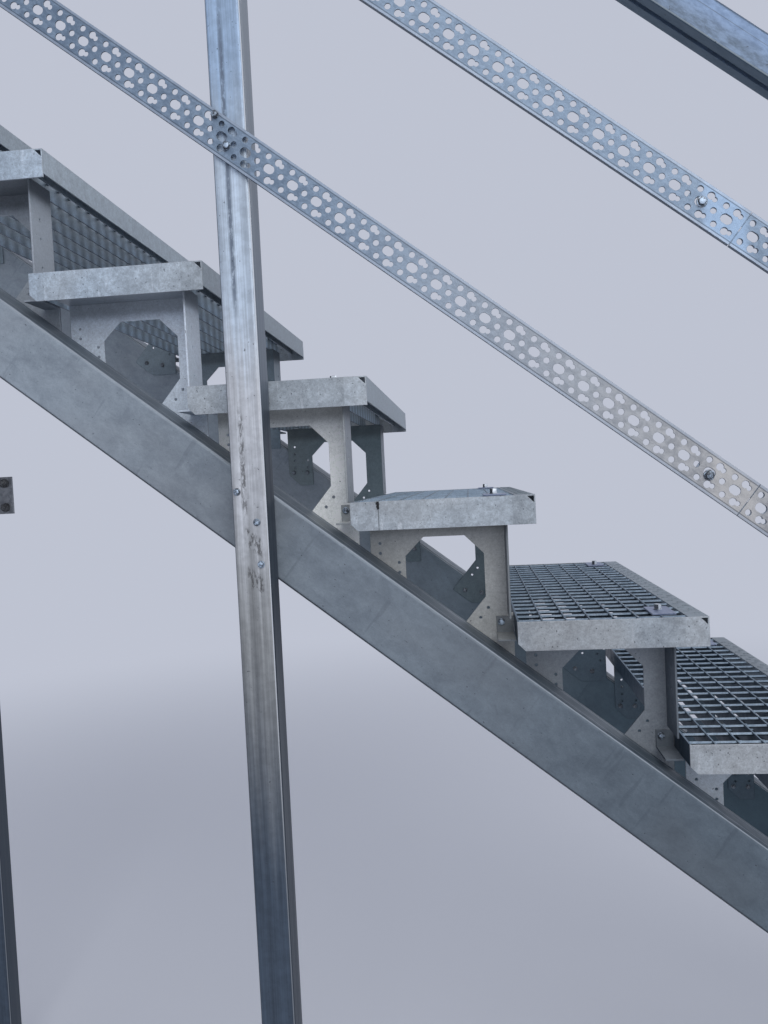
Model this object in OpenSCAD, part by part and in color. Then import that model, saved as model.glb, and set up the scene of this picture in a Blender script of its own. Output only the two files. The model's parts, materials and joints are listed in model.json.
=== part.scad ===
// Straight flight of an outdoor escape stair in galvanised steel, which runs up along a wall.
// Box stringers carry folded step brackets, and the brackets carry pressed grating treads.
// The outer side has posts, two perforated rails and a handrail.
// Millimetres, real size. +X runs down the flight, +Y towards the wall, +Z up, ground at z = 0.

/* [Flight] */
// Number of treads
tread_count = 13; // [9:1:15]
// Going: the step forward from tread to tread
going = 250; // [240:5:262]
// Riser: the step up from tread to tread
riser = 195; // [180:5:205]
// Width over the treads, stringer to stringer
stair_w = 800; // [600:50:1200]

/* [Treads] */
// Depth of a tread, from its rear edge to its nosing
tread_depth = 285; // [275:5:310]
// Height of a tread's end plates
tread_h = 45; // [40:1:60]
// Height of the nosing plate
nosing_h = 39; // [36:1:45]
// Width of the nosing's top strip
nosing_w = 30; // [20:1:40]
// Sheet thickness of a tread's end plates and rear plate
tread_sheet = 3; // [2:0.5:4]
// Sheet thickness of the nosing
nosing_sheet = 2; // [1.5:0.5:3]
// Cut corner at the lower rear of an end plate, where the rear plate ends
tail_cut = 11; // [6:1:20]
// Open notch at the upper front of an end plate
nose_notch = 14; // [8:1:18]
// Height of the grating's bearing bars
grate_h = 30; // [25:1:35]
// Thickness of the grating's bearing bars
bar_t = 2.5; // [2:0.5:4]
// Side of the grating's square cross rods, which lie on edge
rod_side = 4; // [3:0.5:6]
// Depth of a cross rod's upper edge below the tops of the bars
rod_sink = 0.5; // [0.3:0.1:2]
// Spacing of the bearing bars, front to back
bearing_pitch = 37; // [30:1:45]
// Spacing of the cross rods, along the tread
cross_pitch = 40; // [30:1:45]

/* [Stringers] */
// Width of a stringer, across the flight
stringer_w = 100; // [80:5:120]
// Height of a stringer, square to its length
stringer_h = 107; // [95:1:130]
// Wall of a stringer
stringer_wall = 4; // [3:0.5:6]
// Corner radius of a stringer
stringer_r = 6; // [5:1:14]
// Drop from a tread's rear edge to the stringer's top
stringer_drop = 74; // [70:1:90]
// Length of the stringers behind the top tread
top_run = 40; // [20:5:80]

/* [Step brackets] */
// Sheet thickness of a bracket
bracket_sheet = 3; // [2:0.5:5]
// Rear edge of a bracket, in front of the tread's rear edge
bracket_rear = 17; // [12:1:25]
// Gap between a bracket's front face and the next tread's rear edge
bracket_gap = 7; // [5:1:12]
// Width of the folded front and top flanges
flange_w = 68; // [50:1:80]
// Left edge of the eight-sided cut-out
cutout_rear = 75; // [70:1:85]
// Right edge of the eight-sided cut-out
cutout_front = 205; // [195:1:212]
// Depth of the cut-out's upper edge below the tread
cutout_top = 65; // [60:1:75]
// Corner cut of the cut-out
cutout_corner = 31; // [20:1:40]
// Depth at which the cut-out's front edge turns back
cutout_turn = 168; // [155:1:175]
// Lean of the cut-out's front edge below that turn, in degrees from upright
cutout_lean = 40; // [30:1:45]
// Width of a bracket's front leg at its foot
front_leg_w = 51; // [44:1:60]
// How far the bracket's legs lap the stringer, measured upright
leg_lap = 46; // [35:1:60]
// Depth of the rear leg's foot below the tread
rear_leg = 166; // [158:1:175]
// Cut corner of the rear leg
leg_cut = 26; // [15:1:35]
// Depth of the front flange's lower end below the tread
flange_foot = 196; // [188:1:200]
// Gap between a bracket's foot and the next tread's rear edge
foot_gap = 1; // [0.5:0.5:3]
// Depth of the foot's cleat below the tread
cleat_at = 228; // [222:1:230]
// Height of the cleat's upright leaf
cleat_h = 30; // [20:1:32]
// Length of the cleat, along the foot
cleat_l = 28; // [20:1:30]
// How much further back the brackets of the wall side sit
far_back = 12; // [0:1:13]
// Diameter of a bracket's pilot holes
pilot_d = 5; // [3:0.5:6]
// Spacing of the pilot holes in a bracket's rear leg
pilot_pitch = 16.5; // [14:0.5:18]

/* [Posts] */
// Number of posts on the outer side
post_count = 4; // [3:1:4]
// Distance from the lowest riser back to the first post
first_post = 145; // [140:2.5:200]
// Distance from the stringers' upper end down to the last post
last_post = 145; // [140:2.5:200]
// Side of the square post section
post_side = 54; // [40:2:60]
// Wall of the posts
post_wall = 3; // [2:0.5:4]
// Corner radius of the posts
post_r = 6; // [4:1:8]
// Thickness of the plates under posts and stringers
foot_t = 8; // [6:1:12]
// Width of a post's base plate, along the flight
base_w = 120; // [110:5:150]
// How far a post's base plate reaches out from the stringer
base_reach = 100; // [90:5:120]
// How far the plates at the stringers' ends pass the stringer's edge
plate_margin = 20; // [10:5:40]
// Diameter of the anchor holes
anchor_d = 14; // [10:1:18]
// Distance between the two anchors of a base plate
anchor_spacing = 80; // [70:5:90]

/* [Rails] */
// Height of the lower rail's centre line above the line of the treads' rear edges
lower_rail_at = 430; // [380:5:480]
// Height of the upper rail's centre line above the same line
upper_rail_at = 808; // [740:2:860]
// Height of the handrail's underside above the same line
handrail_at = 1052; // [980:5:1080]
// Width of a perforated rail
rail_w = 54; // [50:1:60]
// Depth of a perforated rail's folded lips
rail_d = 8; // [6:1:12]
// Sheet thickness of a perforated rail
rail_sheet = 2; // [1.5:0.5:3]
// Length of one repeat of the rail's holes
hole_pitch = 43; // [40:1:48]
// Diameter of the small round holes
small_hole_d = 9; // [7:0.5:10]
// Length of the large oval holes
oval_l = 17.5; // [14:0.5:19]
// Height of the large oval holes
oval_h = 13; // [10:0.5:14]
// Diameter of the larger round of a drop-shaped hole
drop_d = 11; // [9:0.5:12]
// Diameter of the smaller round of a drop-shaped hole
drop_tip_d = 7.5; // [6:0.5:9]
// Length between the two rounds of a drop-shaped hole
drop_run = 7; // [5:0.5:8]
// Distance of the outer rows of holes from the centre line
row_offset = 15; // [14:0.5:16]
// Number of segments that draw a round of the rail's pattern
round_sides = 16; // [14:2:32]
// Distance from the last oval hole's centre to the end of a rail, at the joint
cut_at = 23; // [22:0.5:24]
// Distance from the second post up the flight to the rails' joint
joint_at = 278; // [200:1:350]
// Gap between the two lengths of a rail at their joint
joint_gap = 1; // [0.5:0.5:3]
// Length of the strip behind the rails' joint, in repeats of the holes
joint_repeats = 4; // [2:2:6]
// How far the rails and the handrail pass the outer posts
rail_over = 60; // [40:5:90]
// Width and height of the handrail section
handrail_side = 50; // [40:5:60]
// Corner radius of the handrail's lower edges
handrail_r = 2.5; // [1.5:0.5:5]
// Width of the groove along the handrail's underside
groove_w = 10; // [8:1:20]
// Depth of the groove
groove_d = 5; // [3:0.5:8]

/* [Fixings] */
// Width of the plates at the ends of the stringers
end_plate_w = 160; // [150:5:180]
// Distance between the two bolt holes of an end plate
end_bolt_spacing = 90; // [70:5:100]
// Width of the wall tie behind the wall side post
tie_w = 200; // [200:5:240]
// Height of the wall tie
tie_h = 100; // [80:5:140]
// Thickness of the wall tie
tie_t = 6; // [4:1:10]
// Distance between the wall tie's holes, side to side
tie_spacing_x = 160; // [140:5:180]
// Distance between the wall tie's holes, one above the other
tie_spacing_z = 65; // [40:5:80]
// Height of the wall tie's centre above the ground
tie_at = 1600; // [1200:20:1800]
// Length of a grating clip, along the tread
clip_l = 68; // [50:1:80]
// Width of a grating clip, front to back
clip_w = 36; // [30:1:45]
// Thickness of a grating clip
clip_t = 2.5; // [2:0.5:4]
// Gap between a grating clip and the nosing's top strip
clip_gap = 12; // [2:1:20]
// Distance from a tread's end to its grating clip
clip_end = 25; // [15:1:35]

/* [Hidden] */
slope = riser / going;
rake = atan(slope);
x_end = -tread_count * going - top_run;
x_nose = tread_depth - going;
wall_face = stair_w + post_side + tie_t;
shift = [-(x_end + x_nose) / 2, (base_reach - wall_face) / 2, 0];
anchor_y = -(base_reach + post_side) / 2;
post_spacing = (-x_end - first_post - last_post) / (post_count - 1);
post_xs = [for (i = [0:post_count - 1]) -first_post - i * post_spacing];
top_post_x = post_xs[post_count - 1];
rail_low = post_xs[0] + rail_over;
rail_high = top_post_x - rail_over;
joint_x = post_xs[1] - joint_at;
first_oval = hole_pitch - cut_at;
bracket_front = going - bracket_gap;
foot_front = going - foot_gap;
flange_y = stringer_w + bracket_sheet - flange_w;
side_hole_y = (stringer_w + end_plate_w) / 2;
stringer_bottom = stringer_drop + stringer_h / cos(rake);
bay_starts = [1, 5, 9];
bay_ends = [4, 8, tread_count];

// Pilot holes of a bracket's front leg, measured square to the cut-out's leaning edge and along it
front_pilots = [[15, -12], [15, -33], [42, -13], [58, -21], [62, -54]];
// Pilot holes of a bracket's rear leg: distance from its rear edge, and count of pitches down
rear_pilots = [[16, 0], [16, 1], [16, 2], [16, 3], [47, 2], [47, 3]];
// Depths of the pilot holes in a bracket's front flange, and their distance from its edge
flange_pilots = [91, 123, 171];
flange_pilot_y = 27;

// Share of a repeat that a rounding error may take from a count
rounding = 0.01;
$fn = 32;

// Height of a sloped line at x, from its height above the line of the treads' rear edges
function line_z(x, above) = above - slope * x;

// The whole flight stands with the middle of its box over the origin
module place() {
    translate(shift) children();
}

// A section drawn across the flight and up, run from x_from down the rake to x_to
module raked(x_from, x_to, above) {
    translate([x_from, 0, line_z(x_from, above)])
        rotate([0, rake, 0])
            rotate([90, 0, 90])
                linear_extrude((x_to - x_from) / cos(rake))
                    children();
}

// A flat outline drawn along the rake, given a thickness towards the outside
module raked_plate(x_from, above, y, t) {
    translate([x_from, y, line_z(x_from, above)])
        rotate([0, rake, 0])
            rotate([90, 0, 0])
                linear_extrude(t)
                    children();
}

// An outline drawn in x and z, given a thickness along y from y_from to y_from + t
module upright(y_from, t) {
    translate([0, y_from + t, 0])
        rotate([90, 0, 0])
            linear_extrude(t)
                children();
}

// Rectangle with round corners
module rounded(w, h, r) {
    translate([r, 0]) square([w - 2 * r, h]);
    translate([0, r]) square([w, h - 2 * r]);
    for (x = [r, w - r], y = [r, h - r])
        translate([x, y]) circle(r);
}

// Hollow section with round corners
module tube_section(w, h, r, wall) {
    difference() {
        rounded(w, h, r);
        translate([wall, wall]) rounded(w - 2 * wall, h - 2 * wall, r - wall);
    }
}

// Mirrors a near side piece to the wall side
module to_wall_side() {
    translate([0, stair_w, 0]) mirror([0, 1, 0]) children();
}

// Moves a piece drawn at a tread's rear upper edge to tread k
module at_tread(k) {
    translate([-k * going, 0, k * riser]) children();
}

// Treads

module end_plate_outline() {
    polygon([
        [0, 0],
        [tread_depth - nose_notch, 0],
        [tread_depth, -nose_notch],
        [tread_depth, -tread_h],
        [tail_cut, -tread_h],
        [0, -tread_h + tail_cut]
    ]);
}

module tread_frame() {
    for (y = [0, stair_w - tread_sheet])
        upright(y, tread_sheet) end_plate_outline();
    translate([0, tread_sheet / 2, -tread_h + tail_cut])
        cube([tread_sheet, stair_w - tread_sheet, tread_h - tail_cut]);
    upright(tread_sheet / 2, stair_w - tread_sheet) nosing_outline();
}

// Folded nosing: front plate, top strip and a return at the strip's rear, as deep as the bars
module nosing_outline() {
    difference() {
        translate([tread_depth - nosing_w, -nosing_h]) square([nosing_w, nosing_h]);
        translate([tread_depth - nosing_w - 1, -nosing_h - 1])
            square([nosing_w - nosing_sheet + 1, nosing_h - nosing_sheet + 1]);
    }
    translate([tread_depth - nosing_w, -grate_h]) square([nosing_sheet, grate_h]);
}

module grating() {
    inner_d = tread_depth - nosing_w - tread_sheet;
    bearing_n = round(inner_d / bearing_pitch);
    cross_n = round(stair_w / cross_pitch);
    for (i = [1:bearing_n - 1])
        translate([tread_sheet + i * inner_d / bearing_n - bar_t / 2, tread_sheet / 2, -grate_h])
            cube([bar_t, stair_w - tread_sheet, grate_h]);
    for (j = [1:cross_n])
        translate([tread_sheet / 2, (j - 1 / 2) * stair_w / cross_n, -rod_sink])
            rotate([-135, 0, 0])
                cube([inner_d + (tread_sheet + nosing_sheet) / 2, rod_side, rod_side]);
}

module tread(k) {
    color("silver") place() at_tread(k) {
        tread_frame();
        grating();
    }
}

// Step brackets

module bracket_outline() {
    lap = stringer_drop + leg_lap;
    tip_x = bracket_front - front_leg_w;
    difference() {
        polygon([
            [bracket_rear, -grate_h],
            [bracket_front, -grate_h],
            [bracket_front, -flange_foot],
            [foot_front, -flange_foot],
            [foot_front, -lap - slope * tip_x],
            [tip_x, -lap - slope * tip_x],
            [cutout_rear, -lap - slope * cutout_rear],
            [cutout_rear, -rear_leg],
            [bracket_rear + leg_cut, -rear_leg],
            [bracket_rear, -rear_leg + leg_cut]
        ]);
        cutout_outline(lap);
        pilot_outlines();
    }
}

module pilot_outlines() {
    for (p = rear_pilots)
        translate([bracket_rear + p.x, -cutout_top - pilot_pitch / 2 - p.y * pilot_pitch])
            circle(d = pilot_d);
    translate([cutout_front, -cutout_turn])
        rotate(-cutout_lean)
            for (p = front_pilots)
                translate(p) circle(d = pilot_d);
}

// The eight-sided cut-out, which runs out through the edge that laps the stringer
module cutout_outline(lap) {
    low = lap + slope * bracket_front;
    polygon([
        [cutout_rear + cutout_corner, -cutout_top],
        [cutout_front - cutout_corner, -cutout_top],
        [cutout_front, -cutout_top - cutout_corner],
        [cutout_front, -cutout_turn],
        [cutout_front - (low - cutout_turn) * tan(cutout_lean), -low],
        [cutout_rear, -low],
        [cutout_rear, -cutout_top - cutout_corner]
    ]);
}

module bracket() {
    upright(stringer_w, bracket_sheet) bracket_outline();
    front_flange();
    translate([bracket_rear, flange_y, -grate_h - bracket_sheet])
        cube([bracket_front - bracket_rear, flange_w, bracket_sheet]);
    cleat();
}

module front_flange() {
    difference() {
        translate([bracket_front - bracket_sheet, flange_y, -flange_foot])
            cube([bracket_sheet, flange_w, flange_foot - grate_h]);
        for (z = flange_pilots)
            translate([bracket_front - 2 * bracket_sheet, flange_y + flange_pilot_y, -z])
                rotate([0, 90, 0]) cylinder(h = 3 * bracket_sheet, d = pilot_d);
    }
}

// Angle cleat on the outside of the foot, behind the next tread down
module cleat() {
    translate([foot_front - cleat_l, stringer_w - bracket_sheet, -cleat_at - bracket_sheet])
        cube([cleat_l, bracket_sheet, cleat_h]);
    translate([foot_front - cleat_l, flange_y, -cleat_at - bracket_sheet])
        cube([cleat_l, flange_w - bracket_sheet, bracket_sheet]);
}

module near_brackets(b) {
    color("tan") place()
        for (k = [bay_starts[b - 1]:bay_ends[b - 1]])
            at_tread(k) lowest_cut(k) bracket();
}

module far_brackets(b) {
    color("tan") place()
        for (k = [bay_starts[b - 1]:bay_ends[b - 1]])
            at_tread(k) lowest_cut(k)
                translate([-far_back, 0, 0]) to_wall_side() bracket();
}

// Bracket of the lowest tread ends on the ground and has no tread in front of it
module lowest_cut(k) {
    if (k == 1)
        intersection() {
            children();
            translate([0, -going, -riser + foot_t])
                cube([foot_front, stair_w + 2 * going, riser]);
        }
    else
        children();
}

// Stringers

module stringer_bar() {
    z_top = line_z(x_end, 0);
    intersection() {
        raked(x_end - stringer_h, 0, -stringer_bottom)
            tube_section(stringer_w, stringer_h, stringer_r, stringer_wall);
        translate([x_end + foot_t, -1, foot_t])
            cube([-x_end, stringer_w + 2, z_top]);
    }
}

// Plate on the ground under a stringer's level cut and the lowest bracket's front leg
module foot_plate() {
    heel = line_to_ground(stringer_bottom) - plate_margin;
    toe = plate_margin - bracket_gap;
    difference() {
        translate([heel, 0, 0]) cube([toe - heel, end_plate_w, foot_t]);
        for (s = [-1, 1])
            translate([foot_hole_x(s), side_hole_y, -1])
                cylinder(h = foot_t + 2, d = anchor_d);
    }
}

function line_to_ground(depth) = -(depth + foot_t) / slope;
function foot_hole_x(s) =
    (line_to_ground(stringer_bottom) + line_to_ground(stringer_drop) + s * anchor_spacing) / 2;

// Upright plate at the upper end of a stringer, bolted to the landing or the building
module end_plate() {
    top = line_z(x_end, -stringer_drop);
    low = line_z(x_end, -stringer_bottom);
    translate([x_end, 0, 0])
        difference() {
            translate([0, 0, low - plate_margin])
                cube([foot_t, end_plate_w, top - low + plate_margin]);
            for (s = [-1, 1])
                translate([-1, side_hole_y, (top + low + s * end_bolt_spacing) / 2])
                    rotate([0, 90, 0]) cylinder(h = foot_t + 2, d = anchor_d);
        }
}

module near_stringer() {
    color("slategray") place() stringer_bar();
}

module far_stringer() {
    color("slategray") place() to_wall_side() stringer_bar();
}

module near_foot_plate() {
    color("gray") place() foot_plate();
}

module far_foot_plate() {
    color("gray") place() to_wall_side() foot_plate();
}

module near_end_plate() {
    color("gray") place() end_plate();
}

module far_end_plate() {
    color("gray") place() to_wall_side() end_plate();
}

// Posts

module post_tube(x, z_top) {
    translate([x - post_side / 2, -post_side, foot_t])
        linear_extrude(z_top - foot_t)
            tube_section(post_side, post_side, post_r, post_wall);
}

module base_plate_at(x) {
    difference() {
        translate([x - base_w / 2, -base_reach, 0]) cube([base_w, base_reach, foot_t]);
        for (s = [-1, 1])
            translate([x + s * anchor_spacing / 2, anchor_y, -1])
                cylinder(h = foot_t + 2, d = anchor_d);
    }
}

// Post of the outer side, cut along the rake under the handrail
module post(i) {
    x = post_xs[i - 1];
    reach = 2 * post_side;
    color("lightsteelblue") place()
        difference() {
            post_tube(x, line_z(x - reach, handrail_at));
            translate([0, -post_side - 1, 0])
                raked(x - 2 * reach, x + 2 * reach, handrail_at)
                    square([post_side + 2, 3 * reach]);
        }
}

module base_plate(i) {
    color("gray") place() base_plate_at(post_xs[i - 1]);
}

module wall_post() {
    z_top = line_z(top_post_x + post_side / 2, -stringer_drop);
    color("lightsteelblue") place() to_wall_side() post_tube(top_post_x, z_top);
}

module wall_base_plate() {
    color("gray") place()
        difference() {
            translate([top_post_x - tie_w / 2, stair_w, 0])
                cube([tie_w, wall_face - stair_w, foot_t]);
            for (s = [-1, 1])
                translate([top_post_x + s * tie_spacing_x / 2, (stair_w + wall_face) / 2, -1])
                    cylinder(h = foot_t + 2, d = anchor_d);
        }
}

// Plate that ties the wall side post to the wall
module wall_tie() {
    color("gray") place()
        difference() {
            translate([top_post_x - tie_w / 2, wall_face - tie_t, tie_at - tie_h / 2])
                cube([tie_w, tie_t, tie_h]);
            for (sx = [-1, 1], sz = [-1, 1])
                translate([
                    top_post_x + sx * tie_spacing_x / 2,
                    wall_face - tie_t - 1,
                    tie_at + sz * tie_spacing_z / 2
                ])
                    rotate([-90, 0, 0]) cylinder(h = tie_t + 2, d = anchor_d);
        }
}

// Perforated rails

// One repeat of the holes: an oval on the centre line, a round and a drop in each outer row
module hole_repeat() {
    slot(oval_l, oval_h);
    for (side = [-1, 1]) {
        translate([-hole_pitch / 4, side * row_offset]) round_hole(small_hole_d);
        translate([hole_pitch / 4, side * row_offset]) drop(side);
    }
}

module round_hole(d) {
    circle(d = d, $fn = round_sides);
}

// Oval hole with straight sides between two rounds
module slot(l, h) {
    run = (l - h) / 2;
    for (s = [-1, 1])
        translate([s * run, 0]) circle(d = h, $fn = round_sides);
    translate([-run, -h / 2]) square([2 * run, h]);
}

// Drop-shaped hole: a larger round with a smaller one run into it
module drop(side) {
    translate([-drop_run / 2, 0]) round_hole(drop_d);
    translate([drop_run / 2, -side * (drop_d - drop_tip_d) / 2]) round_hole(drop_tip_d);
}

// Flat strip with its first oval at a distance from its end, and rounds between the repeats
module rail_web(run, width, first) {
    last = floor((run - cut_at - first) / hole_pitch + rounding);
    difference() {
        translate([0, -width / 2]) square([run, width]);
        for (i = [0:last])
            translate([first + i * hole_pitch, 0]) hole_repeat();
        for (i = [1:last])
            translate([first + (i - 1 / 2) * hole_pitch, 0]) round_hole(small_hole_d);
    }
}

module rail_lips() {
    for (y = [-rail_w / 2, rail_w / 2 - rail_sheet])
        translate([-post_side - rail_d, y]) square([rail_d, rail_sheet]);
}

module rail(x_from, x_to, above, first) {
    color("lightgray") place() {
        raked_plate(x_from, above, -post_side - rail_d + rail_sheet, rail_sheet)
            rail_web((x_to - x_from) / cos(rake), rail_w, first);
        raked(x_from, x_to, above) rail_lips();
    }
}

// Upper length, whose holes are set out from the joint
module rail_a(above) {
    x_to = joint_x - joint_gap / 2;
    to_cut = (x_to - rail_high) / cos(rake) - cut_at;
    spare = to_cut - hole_pitch * floor(to_cut / hole_pitch);
    rail(rail_high, x_to, above, spare < first_oval ? spare + hole_pitch : spare);
}

module rail_b(above) {
    rail(joint_x + joint_gap / 2, rail_low, above, first_oval);
}

// Strips of the same holes behind the joints
module rail_joints() {
    run = joint_repeats * hole_pitch;
    x_from = joint_x - run * cos(rake) / 2;
    color("lightgray") place()
        for (above = [lower_rail_at, upper_rail_at])
            raked_plate(x_from, above, -post_side - rail_d + 2 * rail_sheet, rail_sheet)
                rail_web(run, rail_w - 2 * rail_sheet, first_oval);
}

// Handrail: tube with tighter lower corners and a groove along its underside

module handrail_section() {
    side = handrail_side;
    inner = side - 2 * post_wall;
    fold_w = groove_w + 2 * post_wall;
    difference() {
        union() {
            rounded(side, side, post_r);
            rounded(side, side / 2, handrail_r);
        }
        translate([post_wall, post_wall])
            difference() {
                rounded(inner, inner, post_r - post_wall);
                translate([(inner - fold_w) / 2, -1]) square([fold_w, groove_d + 1]);
            }
        translate([(side - groove_w) / 2, -1]) square([groove_w, groove_d + 1]);
    }
}

module handrail() {
    color("lightsteelblue") place()
        translate([0, -(post_side + handrail_side) / 2, 0])
            raked(rail_high, rail_low, handrail_at) handrail_section();
}

// Clips that hold the grating down on the brackets

module clip() {
    translate([tread_depth - nosing_w - clip_gap - clip_w, clip_end, 0])
        cube([clip_w, clip_l, clip_t]);
}

module near_clips() {
    color("silver") place()
        for (k = [1:tread_count])
            at_tread(k) clip();
}

module far_clips() {
    color("silver") place()
        for (k = [1:tread_count])
            at_tread(k) to_wall_side() clip();
}

for (k = [1:tread_count])
    tread(k);
for (b = [1:3])
    near_brackets(b);
for (b = [1:3])
    far_brackets(b);
near_stringer();
far_stringer();
near_foot_plate();
far_foot_plate();
near_end_plate();
far_end_plate();
for (i = [1:post_count])
    post(i);
for (i = [1:post_count])
    base_plate(i);
wall_post();
wall_base_plate();
wall_tie();
rail_a(lower_rail_at);  // lower_rail_a
rail_b(lower_rail_at);  // lower_rail_b
rail_a(upper_rail_at);  // upper_rail_a
rail_b(upper_rail_at);  // upper_rail_b
rail_joints();
handrail();
near_clips();
far_clips();
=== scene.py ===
"""Finish and small fixings of a galvanised outdoor stair flight.

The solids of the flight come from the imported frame. Each part group gets its zinc finish, and the
bolts, nuts, nosing ribs and seams that the solids leave out are added here.
"""

import json
import math

import bpy
from bpy.props import FloatProperty, FloatVectorProperty, IntProperty, PointerProperty
from bpy.types import Operator, Panel, PropertyGroup
from mathutils import Matrix, Vector


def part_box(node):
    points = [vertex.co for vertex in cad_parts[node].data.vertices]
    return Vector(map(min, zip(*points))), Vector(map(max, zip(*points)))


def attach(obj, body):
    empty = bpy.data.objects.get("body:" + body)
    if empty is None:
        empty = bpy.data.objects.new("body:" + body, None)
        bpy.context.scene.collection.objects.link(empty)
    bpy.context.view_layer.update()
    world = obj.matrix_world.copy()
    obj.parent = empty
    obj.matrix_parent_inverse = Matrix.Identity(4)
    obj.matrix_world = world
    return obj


bl_info = {
    "name": "Escape Stair Finish",
    "version": (1, 0, 0),
    "blender": (4, 5, 0),
    "location": "View3D > Sidebar > Stair",
    "description": "Galvanised finishes, fixings and stage for an outdoor stair flight",
    "category": "Object",
}

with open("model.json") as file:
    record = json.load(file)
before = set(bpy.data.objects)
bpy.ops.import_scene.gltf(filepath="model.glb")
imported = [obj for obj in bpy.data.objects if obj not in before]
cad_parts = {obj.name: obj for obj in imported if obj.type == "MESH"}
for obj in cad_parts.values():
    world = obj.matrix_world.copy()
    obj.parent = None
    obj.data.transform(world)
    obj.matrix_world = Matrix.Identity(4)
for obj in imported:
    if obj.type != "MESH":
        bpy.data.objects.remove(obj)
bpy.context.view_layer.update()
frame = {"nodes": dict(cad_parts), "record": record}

BODY = "root"
NODES = frame["nodes"]
TREADS = sorted((n for n in NODES if n.startswith("tread_")), key=lambda n: int(n.split("_")[1]))
POSTS = sorted(n for n in NODES if n.startswith("post_"))
PLATES = [n for n in NODES if "plate" in n or n == "wall_tie"]
SIDES = ("near", "far")


def middle(node):
    """Middle of a node's box."""
    return sum(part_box(node), Vector()) / 2


# Sizes read from the frame, in metres
FIRST_LOW, FIRST_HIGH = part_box(TREADS[0])
SECOND_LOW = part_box(TREADS[1])[0]
GOING = FIRST_LOW.x - SECOND_LOW.x
RISER = SECOND_LOW.z - FIRST_LOW.z
SLOPE = RISER / GOING
RAKE = math.atan(SLOPE)
RAKE_TURN = (0, -RAKE, 0)
FOOT_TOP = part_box("near_foot_plate")[1].z
FIRST_POST = middle("post_1").x
POST_SPACING = FIRST_POST - middle("post_2").x
# Spacing of the grating's rods along a tread, and a hair more than an end plate's thickness
ROD_PITCH = 0.04
END_PLATE_T = 0.0032
# Depth of the fine unevenness of the zinc
SKIN_DEPTH = 0.0006
# Fixings below this height would stand in the foot plates
LOWEST = FOOT_TOP + 0.012
# Where along x the painted sheen of the sky lies on a rail's face beside its joint
SHEEN = {rail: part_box(f"{rail}_rail_b")[0].x for rail in ("lower", "upper")}
# Damaged end plate: its step counted down from the first, and the damage in front of its rear
NOTCH_STEP = -7
NOTCH_ALONG = 0.043
# Stretches along x over which a look sets in, from none of it to all of it: the painted light falloff
# down the flight, the bluer upper treads, the lighter and warmer upper far brackets, the painted shade
# and edge colours of the lower brackets, the tint of painted shade on the lower stringer and the painted
# warm light on the lower rail
LIGHT_FALL = (-1.2, 0.25)
UPPER_TREADS = (-0.55, -0.85)
UPPER_FAR_BRACKETS = (-0.45, -0.75)
LOWER_BRACKETS = (-0.60, -0.42)
LOWER_STRINGER = (-0.7, 0.5)
WARM_RAIL = (-0.45, 0.25)
# A stringer's painted light falloff: its levels in the upper and the lower half, and the tint of painted
# shade in its lower half
NEAR_STRINGER_FALLOFF = ((1.65, 0.70), (0.88, 0.99, 1.06))
FAR_STRINGER_FALLOFF = ((1.45, 0.52), (0.66, 0.95, 1.08))
# Colours of details, and tint of the upper treads
SPECK = (0.03, 0.035, 0.045)
DRIP = (0.66, 0.70, 0.74)
WARM_PATCH = (0.42, 0.40, 0.37)
STAIN = (0.16, 0.175, 0.19)
DIRT = (0.10, 0.12, 0.145)
BLUER = (0.95, 1.01, 1.07)
# Lamps: place, the point that each looks at, and size
KEY_LAMP = ((1.5, -5.5, 4.6), (0, 0, 1.5), 4.5)
FILL_LAMP = ((3.6, 3.2, 4.6), (0, 0, 1.2), 3.0)
# Ribs of the nosings: way of the first row behind the front, and from row to row
RIB_SETBACK = 0.008
RIB_ROW_PITCH = 0.012
# Directions
ALONG = Vector((1, 0, 0))
ACROSS = Vector((0, 1, 0))
UP = Vector((0, 0, 1))
OUT = -ACROSS


def rear_line(x):
    """Height at x of the line through the treads' rear upper edges."""
    return FIRST_HIGH.z + (FIRST_LOW.x - x) * SLOPE


def tread_origin(tread, side):
    """Rear upper corner of a tread at its near or far end."""
    low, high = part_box(tread)
    return Vector((low.x, low.y if side == "near" else high.y, high.z))


def inward(side):
    """Direction along y from that side towards the middle of the flight."""
    return 1 if side == "near" else -1


def colour(name, description, default):
    """Setting that is a colour."""
    return FloatVectorProperty(
        name=name, description=description, default=default, size=3, subtype="COLOR",
    )


def length(name, description, default):
    """Setting that is a length in metres."""
    return FloatProperty(name=name, description=description, default=default, unit="LENGTH")


def angle(name, description, degrees):
    """Setting that is an angle."""
    return FloatProperty(
        name=name, description=description, default=math.radians(degrees), subtype="ANGLE",
    )


def power(name, description, default):
    """Setting that is a lamp's power in watts."""
    return FloatProperty(name=name, description=description, default=default, unit="POWER")


def lighter(name, part, default):
    """Setting that is the lighter colour of a part."""
    return colour(f"{name}, light", f"Lighter colour of the {part}", default)


def darker(name, part, default):
    """Setting that is the darker colour of a part."""
    return colour(f"{name}, dark", f"Darker colour of the {part}", default)


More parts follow.
